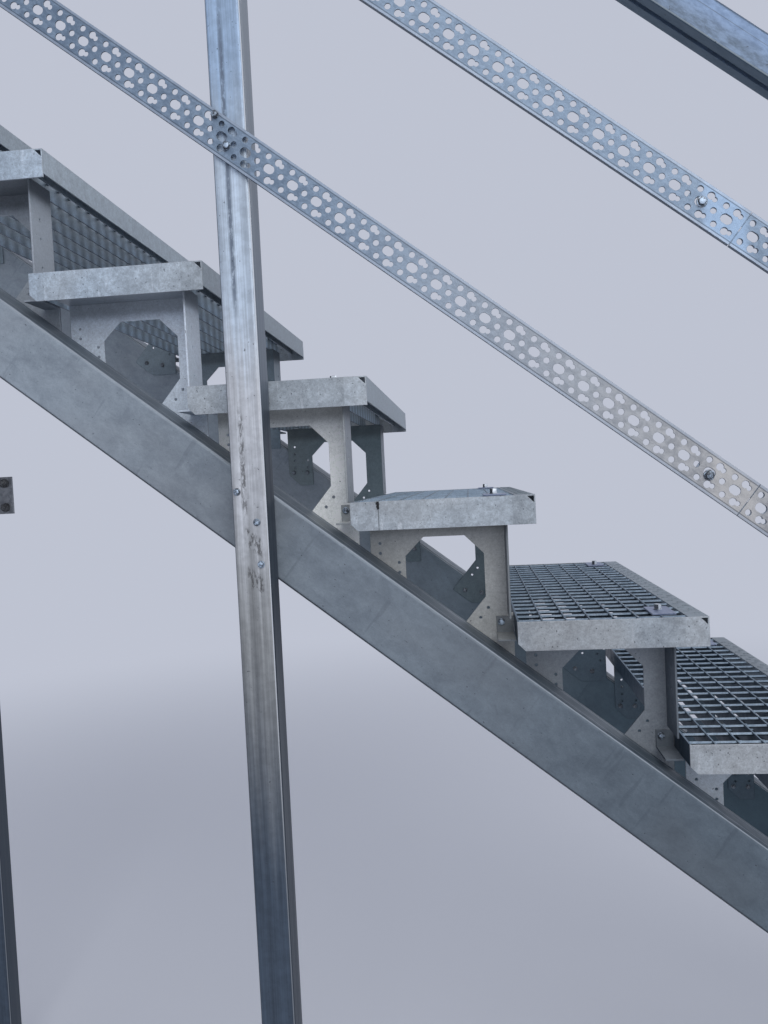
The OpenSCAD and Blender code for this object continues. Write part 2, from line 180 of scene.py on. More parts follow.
class StairStageSettings(PropertyGroup):
    """Camera, lamps and floor."""

    camera_place: FloatVectorProperty(
        name="Camera place", description="Where the camera stands", size=3,
        default=(-0.1864, -1.6561, 1.5940), unit="LENGTH",
    )
    camera_turn: angle("Camera turn", "Turn of the view to the left of straight ahead", 5.959)
    camera_down: angle("Camera down", "Angle of the view below the horizon", 2.264)
    camera_roll: angle("Camera roll", "Roll of the camera about its view", -2.797)
    camera_lens: FloatProperty(
        name="Lens", description="Focal length on a 36 mm long side", default=29.13,
        subtype="DISTANCE_CAMERA",
    )
    pale: colour("Background", "Colour of the background and of the far floor", (0.515, 0.546, 0.640))
    sky_light: FloatProperty(
        name="Sky light", description="Strength of the even light from all sides", default=0.62, min=0,
    )
    key_power: power("Key lamp", "Power of the large lamp in front", 165)
    fill_power: power("Fill lamp", "Power of the lamp on the wall side", 60)
    floor_pale: colour("Floor", "Colour of the floor under the flight", (0.80, 0.82, 0.88))
    floor_size: length("Floor size", "Side of the square floor", 60)
    floor_fade: length("Floor fade", "Distance at which the floor has the background's colour", 7)


class StairFinishSettings(PropertyGroup):
    """Colours of the zinc finishes."""

    tread_light: lighter("Tread", "treads' end plates", (0.52, 0.58, 0.63))
    tread_dark: darker("Tread", "treads' end plates", (0.34, 0.38, 0.415))
    nosing_light: lighter("Nosing", "nosings", (0.34, 0.395, 0.44))
    nosing_dark: darker("Nosing", "nosings", (0.245, 0.287, 0.325))
    # Painted light in the grating: light through the cells onto the bars, painted shadow of the rods
    # beside them, and painted shade on the bars' sides that look up the flight
    cell_painted_light: colour(
        "Cell, light", "Middle of the grating's bars between two rods, from below", (0.48, 0.59, 0.69),
    )
    cell_painted_shadow: colour("Cell, dark", "Grating's bars beside a rod, from below", (0.235, 0.295, 0.355))
    grating_painted_shade: colour(
        "Grating, dark", "Sides of the grating's bars that look up the flight", (0.022, 0.045, 0.072),
    )
    bracket_light: lighter("Bracket", "outer step brackets", (0.67, 0.685, 0.69))
    bracket_dark: darker("Bracket", "outer step brackets", (0.50, 0.51, 0.515))
    # The wall side's brackets take a darker, shaded copy of the bracket colours: painted shade
    far_shaded_light: lighter("Far bracket", "brackets on the wall side", (0.10, 0.135, 0.155))
    far_shaded_dark: darker("Far bracket", "brackets on the wall side", (0.075, 0.102, 0.12))
    stringer_light: lighter("Stringer", "stringers' zinc", (0.26, 0.30, 0.335))
    stringer_dark: darker("Stringer", "stringers' zinc", (0.138, 0.163, 0.19))
    # The posts' colours paint reflections down the face: sky blue high up, warm and dull towards the
    # stringer and painted shade of the ground below it; the narrow sides are painted shade
    post_sky_reflection: colour("Post, sky", "Colour of the posts near the upper rail", (0.33, 0.445, 0.60))
    post_light: colour("Post, light", "Colour of the posts below the lower rail", (0.53, 0.62, 0.72))
    post_warm: colour("Post, warm", "Colour of the posts above the stringer", (0.58, 0.60, 0.63))
    post_dull: colour("Post, dull", "Colour of the posts at the stringer", (0.315, 0.325, 0.325))
    post_painted_shade: colour("Post, dark", "Colour of the posts below the stringer", (0.06, 0.085, 0.12))
    post_side_shade_high: colour(
        "Post side, upper", "Colour of the posts' narrow sides above the stringer", (0.12, 0.15, 0.19),
    )
    post_side_shade_low: colour(
        "Post side, lower", "Colour of the posts' narrow sides below the stringer", (0.04, 0.055, 0.075),
    )
    rail_light: lighter("Rail", "perforated rails", (0.25, 0.33, 0.43))
    rail_dark: darker("Rail", "perforated rails", (0.155, 0.215, 0.295))
    handrail_light: lighter("Handrail", "handrail", (0.15, 0.22, 0.345))
    handrail_dark: darker("Handrail", "handrail", (0.085, 0.118, 0.16))
    bolt_light: lighter("Bolt", "plated bolts", (0.42, 0.47, 0.52))
    # The bolts' dark sides are painted shade
    bolt_shaded_side: colour("Bolt, dark", "Colour of the dirty sides of the bolts", (0.07, 0.08, 0.095))


class StairFixingSettings(PropertyGroup):
    """Sizes of the bolts, nuts and ribs."""

    post_bolt: length("Post bolt", "Width across flats of the bolts in the posts", 0.008)
    rail_bolt: length("Rail bolt", "Width across flats of the bolts in the rails", 0.0095)
    leg_bolt: length("Leg bolt", "Width across flats of the bolts in the brackets' legs", 0.0075)
    clip_bolt: length("Clip bolt", "Width across flats of the bolts in the grating clips", 0.010)
    anchor_nut: length("Anchor nut", "Width across flats of the anchors' nuts", 0.019)
    rib_l: length("Rib length", "Length of an anti-slip rib of the nosing", 0.011)
    rib_w: length("Rib width", "Width of an anti-slip rib", 0.0032)
    rib_h: length("Rib height", "Height of an anti-slip rib", 0.0012)
    rib_pitch: length("Rib spacing", "Spacing of the ribs in a row, along the tread", 0.036)
    rib_rows: IntProperty(
        name="Rib rows", description="Number of staggered rows of ribs", default=2, min=1, max=3,
    )


def stage_settings():
    return bpy.context.scene.stair_stage


def finish_settings():
    return bpy.context.scene.stair_finish


def fixing_settings():
    return bpy.context.scene.stair_fixings


# Node trees


class Field:
    """A value that varies from place to place: the output of a node, with plain arithmetic."""

    def __init__(self, tree, socket):
        self.tree = tree
        self.socket = socket

    def math(self, operation, other=0.0):
        return self.tree.math(operation, self, other)

    def __add__(self, other):
        return self.math("ADD", other)

    def __sub__(self, other):
        return self.math("SUBTRACT", other)

    def __rsub__(self, other):
        return self.tree.math("SUBTRACT", other, self)

    def __mul__(self, other):
        return self.math("MULTIPLY", other)

    def __abs__(self):
        return self.math("ABSOLUTE")

    def __or__(self, other):
        """The larger of two values."""
        return self.math("MAXIMUM", other)

    def span(self, low, high, start=0.0, end=1.0):
        """Maps low to high onto start to end, smoothly and clamped."""
        inputs = {"Value": self, "From Min": low, "From Max": high, "To Min": start, "To Max": end}
        return self.tree.node("MapRange", inputs, "Result", interpolation_type="SMOOTHSTEP")

    def band(self, centre, half, soft=0.001):
        """1 within half of the centre, falling to 0 over a soft border."""
        return abs(self - centre).span(half, half + soft, 1, 0)

    def wave(self, period, peak):
        """Swings between -1 and 1, with a peak at one value."""
        return ((self - peak) * (2 * math.pi / period)).math("COSINE")


class Tree:
    """A node tree, with one short call for a node."""

    def __init__(self, tree):
        self.tree = tree

    def feed(self, socket, value):
        """Links a socket to a field, or sets it to a number, vector or colour."""
        if isinstance(value, Field):
            self.tree.links.new(value.socket, socket)
        elif hasattr(value, "__len__") and len(value) == 3 and len(socket.default_value) == 4:
            socket.default_value = (*value, 1)
        else:
            socket.default_value = value

    def node(self, kind, inputs, output, **settings):
        """Makes a shader node with its settings, feeds its inputs and gives one of its outputs."""
        made = self.tree.nodes.new(f"ShaderNode{kind}")
        for name, value in settings.items():
            setattr(made, name, value)
        for name, value in inputs.items():
            self.feed(made.inputs[name], value)
        return Field(self, made.outputs[output])

    def math(self, operation, first, second=0.0):
        return self.node("Math", {0: first, 1: second}, "Value", operation=operation)


class Finish(Tree):
    """A material: its colour so far, its grain, the place on it and the way that its faces look."""

    def __init__(self, name):
        self.material = bpy.data.materials.new(name)
        self.material.use_nodes = True
        super().__init__(self.material.node_tree)
        self.surface = self.tree.nodes["Principled BSDF"]
        self.here = self.place()
        self.x, self.y, self.z = self.axes(self.here)
        facing = self.node("TexCoord", {}, "Normal")
        self.x_side, self.y_side, self.z_side = self.axes(facing)
        # Steps from the lowest tread (0, -1, ...), way in front of a step's rear, way below its top
        from_first = self.x - FIRST_LOW.x
        self.step = from_first.math("DIVIDE", GOING).math("FLOOR")
        self.along = from_first - self.step * GOING
        self.below = self.step * -RISER + FIRST_HIGH.z - self.z

    def place(self, turn=(0, 0, 0), stretch=(1, 1, 1)):
        """Object coordinates, turned first and then stretched along the turned axes."""
        here = self.node("TexCoord", {}, "Object")
        turned = self.node("Mapping", {"Vector": here, "Rotation": turn}, "Vector")
        inputs = {0: turned, 1: stretch}
        return self.node("VectorMath", inputs, "Vector", operation="MULTIPLY")

    def axes(self, vector):
        """The three numbers of a vector."""
        return [self.node("SeparateXYZ", {"Vector": vector}, axis) for axis in "XYZ"]

    def across(self, node):
        """Way upwards from the middle of a raked part, square to its length."""
        centre = middle(node).z * math.cos(RAKE) + middle(node).x * math.sin(RAKE)
        return self.axes(self.place(turn=RAKE_TURN))[2] - centre

    def noise(self, vector, scale, detail=4, roughness=0.55, distortion=0):
        inputs = {
            "Vector": vector, "Scale": scale, "Detail": detail, "Roughness": roughness,
            "Distortion": distortion,
        }
        return self.node("TexNoise", inputs, "Fac")

    def cells(self, vector, scale):
        """One random grey for each crystal patch of the zinc."""
        patches = self.node("TexVoronoi", {"Vector": vector, "Scale": scale}, "Color")
        return self.node("SeparateColor", {"Color": patches}, "Red")

    def mix(self, factor, first, second, blend="MIX"):
        inputs = {0: factor, 6: first, 7: second}
        return self.node("Mix", inputs, 2, data_type="RGBA", blend_type=blend)

    def tone(self, colour, factor):
        """A colour, lighter or darker."""
        inputs = {0: colour, "Scale": factor}
        return self.node("VectorMath", inputs, "Vector", operation="SCALE")

    def edges(self, radius):
        """(normal rounded at the edges, mask that is 1 on the edges)."""
        rounded = self.node("Bevel", {"Radius": radius}, "Normal", samples=4)
        inputs = {0: rounded, 1: self.node("NewGeometry", {}, "Normal")}
        product = self.node("VectorMath", inputs, "Value", operation="DOT_PRODUCT")
        return rounded, product.span(0.995, 0.90)

    def cover(self, mask, colour, share=1.0):
        """Lays a share of another colour over the finish where the mask is 1."""
        self.colour = self.mix(mask * share, self.colour, colour)

    def tint(self, colour, mask=1.0):
        """Multiplies the finish by a colour where the mask is 1."""
        self.cover(mask, self.mix(1.0, self.colour, colour, "MULTIPLY"))

    def level(self, factor):
        """Makes the finish lighter or darker."""
        self.colour = self.tone(self.colour, factor)

    def paint_falloff(self, high, low):
        """Paints a light falloff: levels the finish from high in the upper half of the flight to low in
        the lower half.
        """
        self.level(self.x.span(*LIGHT_FALL, high, low))

    def mottle(self, vector, light, dark, *, clouds, patches, crystal=0.10, bounds=(0.38, 0.62)):
        """Cloudy zinc: slow clouds, medium mottling and crystal patches between two colours."""
        slow = self.noise(vector, clouds, detail=3)
        self.grain = self.noise(vector, patches, detail=7, roughness=0.68, distortion=0.4)
        crystals = self.cells(vector, patches * 3.2) - 0.5
        cloudy = self.grain * 0.55 + slow * 0.45 + crystals * crystal
        self.colour = self.mix(cloudy.span(*bounds), dark, light)

    def frost(self, vector, depth):
        """Fine bright and dark grain of zinc."""
        coarse = self.noise(vector, 150, detail=6, roughness=0.8)
        fine = self.noise(vector, 480, detail=2, roughness=0.6)
        self.level((coarse * 0.6 + fine * 0.4).span(0.38, 0.62, 1 - depth, 1 + depth))

    def blotches(self, colour, share, vector, scale, bounds, **noise):
        """Lays a share of another colour over the patches where a noise is above its bounds."""
        self.cover(self.noise(vector, scale, **noise).span(*bounds), colour, share)

    def specks(self, vector, scale, least):
        """Small dark specks, rarer with a higher least value."""
        self.blotches(SPECK, 0.8, vector, scale, (least, least + 0.05), detail=2, roughness=0.5)

    def close(self, normal, *, metallic, roughness, bump=0.25):
        """Closes the finish: its colour, and a gloss and a fine skin that follow the grain."""
        skin = {"Strength": bump, "Distance": SKIN_DEPTH, "Height": self.grain, "Normal": normal}
        inputs = {
            "Base Color": self.colour, "Metallic": metallic,
            "Roughness": self.grain.span(0.3, 0.7, *roughness),
            "Normal": self.node("Bump", skin, "Normal"),
        }
        for name, value in inputs.items():
            self.feed(self.surface.inputs[name], value)
        return self.material


# Finishes


def tread_finish():
    """Light mottled end plates with drips, a smoother nosing and a dark bluish grating; a painted light
    falloff down the flight, painted shade on the faces that look down and a painted highlight along the
    edges.
    """
    zinc = Finish("tread_zinc")
    settings = finish_settings()
    here = zinc.here
    zinc.mottle(
        here, settings.tread_light, settings.tread_dark, clouds=9, patches=44, crystal=0.08,
        bounds=(0.36, 0.64),
    )
    drips = zinc.place(stretch=(120, 120, 14))
    zinc.blotches(DRIP, 0.45, drips, 1, (0.62, 0.70), detail=4)
    zinc.blotches(WARM_PATCH, 0.35, here, 4.5, (0.45, 0.65), detail=2)
    zinc.blotches(STAIN, 0.35, here, 26, (0.60, 0.72), detail=6, roughness=0.75)
    zinc.specks(here, 260, 0.68)
    zinc.tint(BLUER, zinc.x.span(*UPPER_TREADS))
    tread_notch(zinc)
    grating = grating_mask(zinc)
    zinc.cover(grating, grating_colour(zinc))
    smooth = zinc.mix(zinc.grain.span(0.3, 0.7), settings.nosing_dark, settings.nosing_light)
    plate_front = zinc.x_side.span(0.85, 0.95) * (1 - grating)
    zinc.cover(nosing_mask(zinc) * grating | plate_front, smooth)
    zinc.frost(here, 0.16)
    # Painted light falloff: lighter treads high in the flight, darker low down
    zinc.paint_falloff(1.08, 0.86)
    zinc.level(zinc.step.wave(2, -9) * 0.08 + 1.01)
    # Painted shade on the faces that look down
    zinc.cover(zinc.z_side.span(-0.6, -0.9), (0.10, 0.12, 0.15), 0.55)
    # Painted highlight along the edges, kept off the grating
    normal, edge = zinc.edges(0.0012)
    zinc.cover(edge * (1 - grating), (0.64, 0.68, 0.71), 0.7)
    return zinc.close(normal, metallic=0.3, roughness=(0.40, 0.58))


def grating_mask(zinc):
    """1 between the inner faces of a tread's end plates, 0 on the plates."""
    inner = (FIRST_HIGH.y - FIRST_LOW.y) / 2 - END_PLATE_T
    return abs(zinc.y - middle(TREADS[0]).y).span(inner, inner - 0.0002)


def nosing_mask(zinc):
    """1 on the folded nosing, which lies over the rear of the next lower tread."""
    return zinc.along.span(0.004, 0.0045) * zinc.below.span(-0.10, -0.12)


def grating_colour(zinc):
    """Rods with a painted highlight on their upper facets, dimmer bar tops, painted light through the
    cells with painted shadows of the rods from below, painted shade deeper in the grating and painted
    shade on the sides that look up the flight.
    """
    settings = finish_settings()
    grain = zinc.grain.span(0.3, 0.7)
    # Painted light through each cell, falling to painted shadow beside the rods
    lit = (zinc.y.wave(ROD_PITCH, FIRST_LOW.y) * 0.5 + 0.5) * (grain * 0.3 + 0.7)
    fronts = zinc.mix(lit, settings.cell_painted_shadow, settings.cell_painted_light)
    # Painted shade deeper inside the grating, away from its underside
    fronts = zinc.tone(fronts, zinc.below.span(0.004, 0.028, 0.6, 1.1))
    # Painted shade on the bars' sides that look up the flight
    sides = zinc.mix(zinc.x_side.span(0.4, 0.6), settings.grating_painted_shade, fronts)
    tops = zinc.mix(grain, (0.115, 0.175, 0.24), (0.20, 0.28, 0.365))
    # Painted highlight on the rods' upper facets
    rods = zinc.mix(grain, (0.30, 0.40, 0.50), (0.48, 0.59, 0.70))
    upward = zinc.z_side
    faces = zinc.mix(upward.span(0.85, 0.95), sides, tops)
    return zinc.mix(upward.span(0.5, 0.6) * upward.span(0.85, 0.8), faces, rods)


def tread_notch(zinc):
    """Torn notch and open seam near the rear of one tread's end plate."""
    ragged = zinc.noise(zinc.here, 160, detail=3)
    shallow = (ragged * 0.008 + zinc.below).span(0.018, 0.015)
    notch = ((ragged - 0.5) * 0.010 + zinc.along).band(NOTCH_ALONG, 0.0018) * shallow
    seam = zinc.along.band(NOTCH_ALONG + 0.001, 0.0003) * 0.6
    here = zinc.step.band(NOTCH_STEP, 0.4) * zinc.y_side.span(-0.8, -0.9)
    zinc.cover((notch | seam) * here, (0.008, 0.009, 0.010))


def bracket_finish(side):
    """Speckled sheet, cool and warm by turns along the flight, with painted light and shade that change
    from bracket to bracket, a painted shadow under the tread, painted shade on the faces that look along
    the flight and painted highlights and dark lines along the edges; the wall side's brackets are a
    shaded copy with a painted light falloff.
    """
    zinc = Finish(f"{side}_bracket_zinc")
    settings = finish_settings()
    here = zinc.here
    near = side == "near"
    far_shaded_colours = (settings.far_shaded_light, settings.far_shaded_dark)
    colours = (settings.bracket_light, settings.bracket_dark) if near else far_shaded_colours
    zinc.mottle(here, *colours, clouds=11, patches=60, crystal=0.05, bounds=(0.30, 0.70))
    zinc.frost(here, 0.12)
    step = zinc.step
    warm = step.wave(6, -7.5).span(0.0, 0.8)
    zinc.tint(zinc.mix(warm, (0.92, 1.00, 1.10), (1.00, 1.00, 0.97)))
    if near:
        # Painted light and shade that differ from bracket to bracket, one bracket lit a little more
        zinc.level(step.wave(4.5, -8.4) * 0.5 + 1.0 + step.band(NOTCH_STEP - 1, 0.4) * 0.22)
    else:
        # Painted light falloff down the flight, with the upper brackets lighter and warmer
        zinc.paint_falloff(2.0, 0.9)
        zinc.tint((1.30, 1.10, 0.98), zinc.x.span(*UPPER_FAR_BRACKETS))
    rubbed = zinc.place(stretch=(1, 1, 2.6))
    zinc.blotches((0.09, 0.09, 0.10), 0.4, rubbed, 34, (0.68, 0.76), detail=5, roughness=0.7)
    zinc.specks(here, 240, 0.71)
    lower = zinc.x.span(*LOWER_BRACKETS)
    # Painted shade on the faces that look down the flight, stronger on the lower brackets
    zinc.cover(zinc.x_side.span(0.5, 0.8) * lower.span(0, 1, 0.35, 0.9), (0.20, 0.23, 0.27))
    sheet_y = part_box("near_stringer")[1].y
    rim = zinc.y.span(sheet_y - 0.0005, sheet_y - 0.0010) * zinc.y_side.span(-0.6, -0.9)
    zinc.cover(rim * lower, (0.10, 0.125, 0.15), 0.7)
    # Painted shade on the faces that look up the flight
    zinc.cover(zinc.x_side.span(-0.5, -0.8), (0.05, 0.072, 0.10), 0.8)
    tread_h = FIRST_HIGH.z - FIRST_LOW.z
    # Painted shadow of the tread along the top of the sheet
    zinc.level(zinc.below.span(tread_h + 0.002, tread_h + 0.022, 0.5, 1.0))
    normal, edge = zinc.edges(0.0012)
    # Painted highlights along the upper brackets' edges and dark lines along the lower ones' edges,
    # where shade falls; on the wall side, painted dark outlines
    if near:
        edge_light_and_shade = zinc.mix(lower, (0.55, 0.58, 0.60), (0.10, 0.12, 0.14))
        zinc.cover(edge * lower.span(0, 1, 0.2, 0.55), edge_light_and_shade)
    else:
        zinc.cover(edge, (0.015, 0.022, 0.03), 0.5)
    return zinc.close(normal, metallic=0.25, roughness=(0.42, 0.60))


def stringer_finish(side):
    """Dull cloudy zinc with faint strokes square to the length, a painted light falloff down the flight,
    painted shade on the top and the underside, and painted highlights along a fold on the top and along
    the upper corner.
    """
    zinc = Finish(f"{side}_stringer_zinc")
    settings = finish_settings()
    low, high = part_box(f"{side}_stringer")
    raked = zinc.place(turn=RAKE_TURN, stretch=(1, 1, 1.5))
    zinc.mottle(
        raked, settings.stringer_light, settings.stringer_dark, clouds=5, patches=26,
        crystal=0.04, bounds=(0.24, 0.78),
    )
    strokes = zinc.place(turn=RAKE_TURN, stretch=(55, 3, 7))
    zinc.blotches(DIRT, 0.32, strokes, 1, (0.63, 0.69), detail=2)
    zinc.blotches(DIRT, 0.55, raked, 32, (0.62, 0.74), detail=6, roughness=0.75)
    zinc.frost(raked, 0.07)
    zinc.blotches((0.20, 0.20, 0.205), 0.22, raked, 3.1, (0.48, 0.66), detail=2)
    # Painted light falloff, with a tint of painted shade in the lower half
    levels, shade = NEAR_STRINGER_FALLOFF if side == "near" else FAR_STRINGER_FALLOFF
    zinc.paint_falloff(*levels)
    zinc.tint(shade, zinc.x.span(*LOWER_STRINGER))
    upward = zinc.x_side * math.sin(RAKE) + zinc.z_side * math.cos(RAKE)
    on_top = upward.span(0.8, 0.95)
    # Painted shade on the top
    zinc.cover(on_top, (0.075, 0.105, 0.135), 0.6)
    # Painted highlight along a fold on the top
    from_middle = abs(zinc.y - middle(f"{side}_stringer").y)
    fold = from_middle.band((high.y - low.y) * 0.28, 0.0010, 0.0012)
    zinc.cover(fold * on_top, (0.30, 0.34, 0.40))
    zinc.specks(raked, 190, 0.71)
    # Painted highlight along the upper corner
    corner = upward.span(0.52, 0.60) * upward.span(0.84, 0.76)
    zinc.cover(corner, (0.48, 0.53, 0.58), 0.75)
    # Painted shade on the faces that look down
    zinc.cover(upward.span(-0.25, -0.5), (0.04, 0.05, 0.06), 0.8)
    return zinc.close(zinc.edges(0.002)[0], metallic=0.3, roughness=(0.38, 0.58))


def post_finish(name, least_painted_shade=0.0):
    """Tube with lengthwise streaks and painted reflections: sky blue at the top, pale at the stringer
    and slate below as painted shade, with narrow sides in painted shade and a painted highlight along
    one corner.
    """
    zinc = Finish(name)
    settings = finish_settings()
    streaks = zinc.noise(zinc.place(stretch=(62, 62, 1.7)), 1, detail=6, roughness=0.6)
    zinc.colour, zinc.grain = settings.post_light, streaks
    above = zinc.x * SLOPE + zinc.z - rear_line(0)
    wavy = (streaks - 0.5) * 0.30 + above
    # Painted reflections down the face, ending in painted shade below the stringer
    zinc.cover(wavy.span(0.36, 0.58), settings.post_sky_reflection)
    zinc.cover(wavy.span(0.22, 0.04), settings.post_warm)
    zinc.cover(wavy.span(-0.02, -0.34), settings.post_dull)
    zinc.cover(wavy.span(-0.24, -0.72) | least_painted_shade, settings.post_painted_shade)
    zinc.level(streaks.span(0.34, 0.66, 0.80, 1.14))
    fine = zinc.noise(zinc.place(stretch=(420, 420, 5)), 1, detail=3)
    zinc.level(fine.span(0.35, 0.65, 0.90, 1.08))
    frosted = zinc.noise(zinc.here, 55, detail=7, roughness=0.7)
    zinc.level(frosted.span(0.35, 0.65, 0.90, 1.10))
    post_stains(zinc, above)
    # Painted shade on the narrow sides
    side = zinc.mix(above.span(-0.05, 0.15), settings.post_side_shade_low, settings.post_side_shade_high)
    zinc.cover(abs(zinc.x_side).span(0.6, 0.85), side)
    zinc.specks(zinc.here, 190, 0.72)
    # Painted highlight along one corner
    corner = zinc.x_side.span(0.54, 0.62) * zinc.y_side.span(-0.54, -0.62)
    zinc.cover(corner * above.span(-0.75, -0.25, 0.25, 0.85), (0.86, 0.89, 0.92))
    return zinc.close(zinc.edges(0.0015)[0], metallic=0.3, roughness=(0.34, 0.52), bump=0.15)


def post_stains(zinc, above):
    """Dark streak above the stringer, and scuffs beside and below the bolts of each post."""
    from_half = zinc.x - (FIRST_POST - POST_SPACING / 2)
    along = from_half.math("FLOORED_MODULO", POST_SPACING) - POST_SPACING / 2
    smear = zinc.noise(zinc.place(stretch=(230, 230, 60)), 1, detail=6, roughness=0.75)
    streak = along.band(-0.005, 0.001, 0.005) * above.span(0.14, 0.22) * above.span(0.70, 0.55)
    zinc.cover(streak * smear.span(0.34, 0.52, 0.25, 0.85), (0.10, 0.13, 0.18))
    beside = along.band(-0.007, 0.002, 0.004) * above.band(-0.05, 0.06, 0.03)
    beside = beside * smear.span(0.44, 0.56, 0, 0.75)
    below_bolts = above.band(-0.162, 0.010, 0.008) | above.band(-0.222, 0.010, 0.010)
    scuffs = along.band(0.004, 0.009, 0.006) * below_bolts * smear.span(0.48, 0.58, 0, 0.8)
    zinc.cover(beside | scuffs, (0.07, 0.07, 0.07))


def rail_finish(rail):
    """Smooth zinc strip with a fine grain, a painted sheen of the sky beside its joint, painted warm
    light on the lower rail, painted highlights on its borders and edges, a dark line along each border
    and painted shade on the walls of its holes.
    """
    zinc = Finish(f"{rail}_rail_zinc")
    settings = finish_settings()
    raked = zinc.place(turn=RAKE_TURN, stretch=(0.6, 1, 1))
    zinc.mottle(raked, settings.rail_light, settings.rail_dark, clouds=6, patches=90)
    zinc.frost(raked, 0.10)
    # Painted sheen beside the joint, and on the lower rail a painted warm light towards its lower end
    sheen = (0.38, 0.54, 0.76)
    if rail == "lower":
        sheen = (0.60, 0.58, 0.55)
        warm = zinc.mix(zinc.grain.span(0.35, 0.65), (0.34, 0.335, 0.33), (0.52, 0.505, 0.485))
        zinc.cover(zinc.x.span(*WARM_RAIL), warm, 0.85)
    zinc.cover(zinc.x.band(SHEEN[rail] - 0.004, 0.022, 0.014), sheen, 0.45)
    zinc.specks(raked, 330, 0.73)
    low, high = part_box(f"{rail}_rail_b")
    size = high - low
    half = (size.z * math.cos(RAKE) - size.x * math.sin(RAKE)) / math.cos(2 * RAKE) / 2
    from_middle = abs(zinc.across(f"{rail}_rail_b"))
    # Painted highlight on the rounded borders
    zinc.cover(from_middle.span(half - 0.0035, half - 0.0030), (0.40, 0.46, 0.55), 0.6)
    # A dark line along each border, and painted shade on the walls of the holes
    dark_line_and_hole_shade = (0.06, 0.08, 0.11)
    zinc.cover(from_middle.band(half - 0.0042, 0.0005, 0.0005), dark_line_and_hole_shade, 0.65)
    hole_walls = abs(zinc.y_side).span(0.6, 0.3)
    zinc.cover(hole_walls, dark_line_and_hole_shade, 0.8)
    # Painted highlight along the edges
    normal, edge = zinc.edges(0.0009)
    zinc.cover(edge, (0.50, 0.56, 0.64), 0.35)
    return zinc.close(normal, metallic=0.35, roughness=(0.34, 0.50), bump=0.12)


def handrail_finish():
    """Smooth pale blue tube, mottled low on its face, with a painted highlight along its lower edge and
    painted shade on its underside.
    """
    zinc = Finish("handrail_zinc")
    settings = finish_settings()
    dark = settings.handrail_dark
    raked = zinc.place(turn=RAKE_TURN, stretch=(0.35, 1, 1))
    mottle = zinc.noise(raked, 150, detail=6, roughness=0.7)
    zinc.colour, zinc.grain = settings.handrail_light, mottle
    across = zinc.across("handrail")
    zinc.cover(mottle.span(0.30, 0.70, 0.45, 0.90) * across.span(0.010, -0.014), dark)
    zinc.level(mottle.span(0.35, 0.65, 1.06, 0.94))
    zinc.cover(across.band(0.0085, 0.0003, 0.0006), dark, 0.7)
    zinc.cover(across.span(0.019, 0.021) * mottle.span(0.3, 0.6, 0.3, 0.8), dark)
    # Painted shade on the underside
    zinc.cover(zinc.z_side.span(-0.55, -0.72), (0.075, 0.12, 0.165), 0.95)
    # Painted highlight along the lower edge
    corner = zinc.z_side.span(-0.10, -0.25) * zinc.y_side.span(-0.5, -0.7)
    zinc.cover(corner, (0.46, 0.52, 0.53), 0.6)
    zinc.specks(zinc.place(turn=RAKE_TURN), 150, 0.70)
    return zinc.close(zinc.edges(0.0012)[0], metallic=0.35, roughness=(0.32, 0.48), bump=0.12)


def plain_finish(name, light, dark, rim, *, clouds, patches, radius, share=0.6, specks=False, **gloss):
    """Mottled zinc with a painted highlight along its edges."""
    zinc = Finish(name)
    zinc.mottle(zinc.here, light, dark, clouds=clouds, patches=patches)
    if specks:
        zinc.specks(zinc.here, 220, 0.70)
    # Painted highlight along the edges
    normal, edge = zinc.edges(radius)
    zinc.cover(edge, rim, share)
    return zinc.close(normal, metallic=0.4, **gloss)


def plate_finish():
    """Dull hot-dipped plate."""
    return plain_finish(
        "plate_zinc", (0.30, 0.315, 0.34), (0.15, 0.16, 0.18), (0.50, 0.53, 0.56), clouds=12,
        patches=42, radius=0.0015, specks=True, roughness=(0.42, 0.62),
    )


def clip_finish():
    """Bright bluish plated clip."""
    return plain_finish(
        "clip_zinc", (0.28, 0.33, 0.46), (0.18, 0.22, 0.34), (0.60, 0.65, 0.72), clouds=20,
        patches=80, radius=0.0010, roughness=(0.32, 0.48), bump=0.1,
    )


def weathered_bolt_finish():
    """Dark weathered anchor bolts."""
    return plain_finish(
        "weathered_bolt", (0.12, 0.125, 0.13), (0.035, 0.035, 0.04), (0.30, 0.31, 0.32),
        clouds=50, patches=160, radius=0.0008, share=0.4, roughness=(0.40, 0.65), bump=0.2,
    )


def bolt_finish(name, bright=(0.50, 0.62, 0.76), upright=False):
    """Plated steel, bright on the faces that look along the bolt, with painted shade on its other faces,
    a painted highlight on one side of upright bolts and a painted dark outline along the edges.
    """
    zinc = Finish(name)
    settings = finish_settings()
    dark = settings.bolt_light if upright else settings.bolt_shaded_side
    zinc.mottle(zinc.here, bright, dark, clouds=70, patches=150, bounds=(0.42, 0.60))
    # Painted shade on the sides, with a painted highlight on the sides of upright bolts that face along
    # x
    sides = settings.bolt_shaded_side
    if upright:
        sides = zinc.mix(zinc.x_side.span(-0.3, 0.3), sides, (0.80, 0.86, 0.92))
    outward = abs(zinc.z_side if upright else zinc.y_side)
    zinc.cover(outward.span(0.93, 0.80), sides)
    # Painted dark outline along the edges, where shade falls
    normal, edge = zinc.edges(0.0007)
    zinc.cover(edge, (0.04, 0.045, 0.055), 0.75)
    return zinc.close(normal, metallic=0.35, roughness=(0.25, 0.42), bump=0.1)


def bolt_zinc():
    """Finish that most of the bolts share."""
    return bpy.data.materials.get("bolt_zinc") or bolt_finish("bolt_zinc")


def coat(names, material):
    """Gives CAD nodes a finish."""
    for name in names:
        slots = NODES[name].data.materials
        slots.clear()
        slots.append(material)


# Modelling


def pick(*objects):
    """Selects these objects, the first of them active."""
    bpy.ops.object.select_all(action="DESELECT")
    for item in objects:
        item.select_set(True)
    bpy.context.view_layer.objects.active = objects[0]


